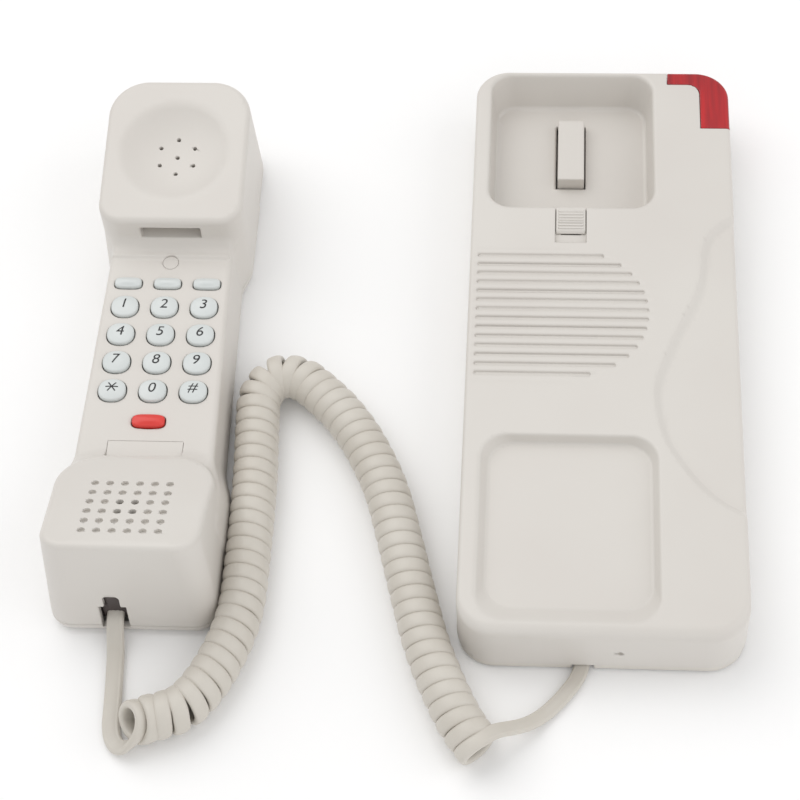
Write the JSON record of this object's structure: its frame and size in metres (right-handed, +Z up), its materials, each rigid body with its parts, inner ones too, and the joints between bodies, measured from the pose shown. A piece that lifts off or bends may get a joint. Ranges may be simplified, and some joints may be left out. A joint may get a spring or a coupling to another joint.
{
  "type": "corded telephone",
  "caption": "Slim corded telephone: flat base with two cradle recesses and a message lamp, and a handset with keypad, jack and curly cord.",
  "frame": {"origin": "on the table, under the centre of the box around the base and the handset laid beside it", "axes": "+Z up, +Y along both halves towards their ear ends, +X from the handset to the base"},
  "size_m": [0.1997, 0.2369, 0.0413],
  "materials": {
    "shell": "satin, fine moulded texture",
    "lens": "clear red, glossy",
    "lamp": "gloss",
    "board": "satin",
    "dark_plastic": "satin",
    "steel": "plated",
    "ballast": "raw",
    "foot": "matt",
    "membrane": "matt",
    "key": "soft gloss",
    "alarm_key": "soft gloss",
    "plug": "clear moulded",
    "cord": "satin vinyl"
  },
  "bodies": {
    "base": {"base_front_shell": "shell", "base_back_plate": "shell", "message_lamp_lens": "lens", "message_lamp_led": "lamp", "base_circuit_board": "board", "hook_switch": "dark_plastic", "hook_spring": "steel", "ringer": "dark_plastic", "base_cord_jack": "dark_plastic", "line_jack": "dark_plastic", "base_screws": "steel", "base_feet": "foot", "plug_base": "plug", "cord_coil": "cord", "cord_tail_base": "cord"},
    "hook_plunger": {"hook_plunger": "shell"},
    "handset_retainer": {"handset_retainer": "shell"},
    "handset": {"handset_front_shell": "shell", "handset_back_shell": "shell", "ear_receiver": "dark_plastic", "mic_capsule": "steel", "keypad_membrane": "membrane", "handset_circuit_board": "board", "handset_cord_jack": "dark_plastic", "handset_screws": "steel", "screw_cover": "shell", "label_plate": "shell", "ballast_weight": "ballast", "plug_handset": "plug", "cord_tail_handset": "cord"},
    "key_1": {"key_1": "key"},
    "key_2": {"key_2": "key"},
    "key_3": {"key_3": "key"},
    "key_4": {"key_4": "key"},
    "key_5": {"key_5": "key"},
    "key_6": {"key_6": "key"},
    "key_7": {"key_7": "key"},
    "key_8": {"key_8": "key"},
    "key_9": {"key_9": "key"},
    "key_star": {"key_star": "key"},
    "key_0": {"key_0": "key"},
    "key_hash": {"key_hash": "key"},
    "key_flash": {"key_flash": "key"},
    "key_redial": {"key_redial": "key"},
    "key_hold": {"key_hold": "key"},
    "key_sos": {"key_sos": "alarm_key"}
  },
  "joints": [
    {"name": "handset_lift", "type": "slide", "parent": "base", "child": "handset", "axis": [0, 0, 1], "range_m": [0, 0.08]},
    {"name": "hook_press", "type": "slide", "parent": "base", "child": "hook_plunger", "axis": [0, 0, -1], "range_m": [0, 0.0025], "stiffness_N_per_m": 300, "springref_m": -0.002, "deforming": ["hook_spring"]},
    {"name": "retainer_slide", "type": "slide", "parent": "base", "child": "handset_retainer", "axis": [0, 1, 0], "range_m": [-0.001, 0.0028]},
    {"name": "key_1_press", "type": "slide", "parent": "handset", "child": "key_1", "axis": [0, 0, -1], "range_m": [0, 0.0012], "stiffness_N_per_m": 400, "springref_m": -0.0006},
    {"name": "key_2_press", "type": "slide", "parent": "handset", "child": "key_2", "axis": [0, 0, -1], "range_m": [0, 0.0012], "stiffness_N_per_m": 400, "springref_m": -0.0006},
    {"name": "key_3_press", "type": "slide", "parent": "handset", "child": "key_3", "axis": [0, 0, -1], "range_m": [0, 0.0012], "stiffness_N_per_m": 400, "springref_m": -0.0006},
    {"name": "key_4_press", "type": "slide", "parent": "handset", "child": "key_4", "axis": [0, 0, -1], "range_m": [0, 0.0012], "stiffness_N_per_m": 400, "springref_m": -0.0006},
    {"name": "key_5_press", "type": "slide", "parent": "handset", "child": "key_5", "axis": [0, 0, -1], "range_m": [0, 0.0012], "stiffness_N_per_m": 400, "springref_m": -0.0006},
    {"name": "key_6_press", "type": "slide", "parent": "handset", "child": "key_6", "axis": [0, 0, -1], "range_m": [0, 0.0012], "stiffness_N_per_m": 400, "springref_m": -0.0006},
    {"name": "key_7_press", "type": "slide", "parent": "handset", "child": "key_7", "axis": [0, 0, -1], "range_m": [0, 0.0012], "stiffness_N_per_m": 400, "springref_m": -0.0006},
    {"name": "key_8_press", "type": "slide", "parent": "handset", "child": "key_8", "axis": [0, 0, -1], "range_m": [0, 0.0012], "stiffness_N_per_m": 400, "springref_m": -0.0006},
    {"name": "key_9_press", "type": "slide", "parent": "handset", "child": "key_9", "axis": [0, 0, -1], "range_m": [0, 0.0012], "stiffness_N_per_m": 400, "springref_m": -0.0006},
    {"name": "key_star_press", "type": "slide", "parent": "handset", "child": "key_star", "axis": [0, 0, -1], "range_m": [0, 0.0012], "stiffness_N_per_m": 400, "springref_m": -0.0006},
    {"name": "key_0_press", "type": "slide", "parent": "handset", "child": "key_0", "axis": [0, 0, -1], "range_m": [0, 0.0012], "stiffness_N_per_m": 400, "springref_m": -0.0006},
    {"name": "key_hash_press", "type": "slide", "parent": "handset", "child": "key_hash", "axis": [0, 0, -1], "range_m": [0, 0.0012], "stiffness_N_per_m": 400, "springref_m": -0.0006},
    {"name": "key_flash_press", "type": "slide", "parent": "handset", "child": "key_flash", "axis": [0, 0, -1], "range_m": [0, 0.0012], "stiffness_N_per_m": 400, "springref_m": -0.0006},
    {"name": "key_redial_press", "type": "slide", "parent": "handset", "child": "key_redial", "axis": [0, 0, -1], "range_m": [0, 0.0012], "stiffness_N_per_m": 400, "springref_m": -0.0006},
    {"name": "key_hold_press", "type": "slide", "parent": "handset", "child": "key_hold", "axis": [0, 0, -1], "range_m": [0, 0.0012], "stiffness_N_per_m": 400, "springref_m": -0.0006},
    {"name": "key_sos_press", "type": "slide", "parent": "handset", "child": "key_sos", "axis": [0, 0, -1], "range_m": [0, 0.0012], "stiffness_N_per_m": 400, "springref_m": -0.0006}
  ]
}
